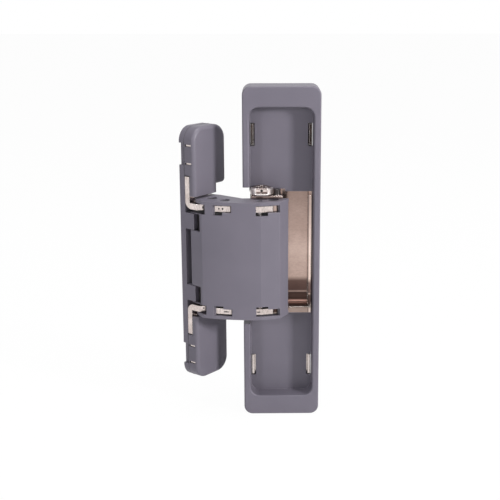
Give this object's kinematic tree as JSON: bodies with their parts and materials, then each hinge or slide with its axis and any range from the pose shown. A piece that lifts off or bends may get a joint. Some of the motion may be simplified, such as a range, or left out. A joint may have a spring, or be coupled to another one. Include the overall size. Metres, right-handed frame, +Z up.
{
  "type": "adjustable surface mount hinge",
  "caption": "Surface mount hinge with a wide and a narrow leaf joined by a swinging arm, and a thumb wheel that sets the height.",
  "frame": {"origin": "middle of the wide leaf's mounting face", "axes": "+Z up along the leaves, +Y into the wall the wide leaf is fixed to, +X away from the narrow leaf"},
  "size_m": [0.0574, 0.0269, 0.14],
  "materials": {
    "housing": "satin",
    "nickel": "bright",
    "spring_steel": "bright",
    "plate": "matte",
    "pin_steel": "satin",
    "screw": "satin"
  },
  "bodies": {
    "wide_leaf": {"wide_cover": "housing", "wide_base": "plate", "wide_clip_upper": "spring_steel", "wide_clip_lower": "spring_steel", "clamp_screws": "screw"},
    "bracket": {"wide_bracket": "nickel", "set_screw": "screw"},
    "adjuster": {"adjuster_wheel": "nickel"},
    "arm": {"arm_core": "plate", "arm_cover": "housing", "wide_pivot_pin": "pin_steel", "narrow_pivot_pin": "pin_steel", "wide_link_pin": "pin_steel", "narrow_link_pin": "pin_steel", "narrow_link_plates": "nickel", "wide_link_plates": "nickel", "wide_washers": "pin_steel", "narrow_washers": "pin_steel"},
    "narrow_leaf": {"narrow_base": "housing", "narrow_cover_upper": "housing", "narrow_cover_lower": "housing", "narrow_arm_upper": "nickel", "narrow_arm_lower": "nickel", "foot_screws": "screw", "narrow_clip_upper": "spring_steel", "narrow_clip_lower": "spring_steel"}
  },
  "joints": [
    {"name": "wheel_turn", "type": "hinge", "parent": "bracket", "child": "adjuster", "pos_m": [-0.0081, -0.0107, 0.0277], "axis": [0, 0, 1], "range_deg": [-360, 360]},
    {"name": "height_adjust", "type": "slide", "parent": "wide_leaf", "child": "bracket", "axis": [0, 0, 1], "range_m": [-0.001, 0.001]},
    {"name": "arm_swing", "type": "hinge", "parent": "bracket", "child": "arm", "pos_m": [-0.0035, -0.014, 0], "axis": [0, 0, 1], "range_deg": [-7, 5]},
    {"name": "leaf_swing", "type": "hinge", "parent": "arm", "child": "narrow_leaf", "pos_m": [-0.0284, -0.01035, 0], "axis": [0, 0, 1], "range_deg": [-28, 20]}
  ],
  "couplings": [
    {"joint": "wheel_turn", "follows": "height_adjust", "rad_per_m": 6283},
    {"joint": "leaf_swing", "follows": "arm_swing", "ratio": 4}
  ]
}
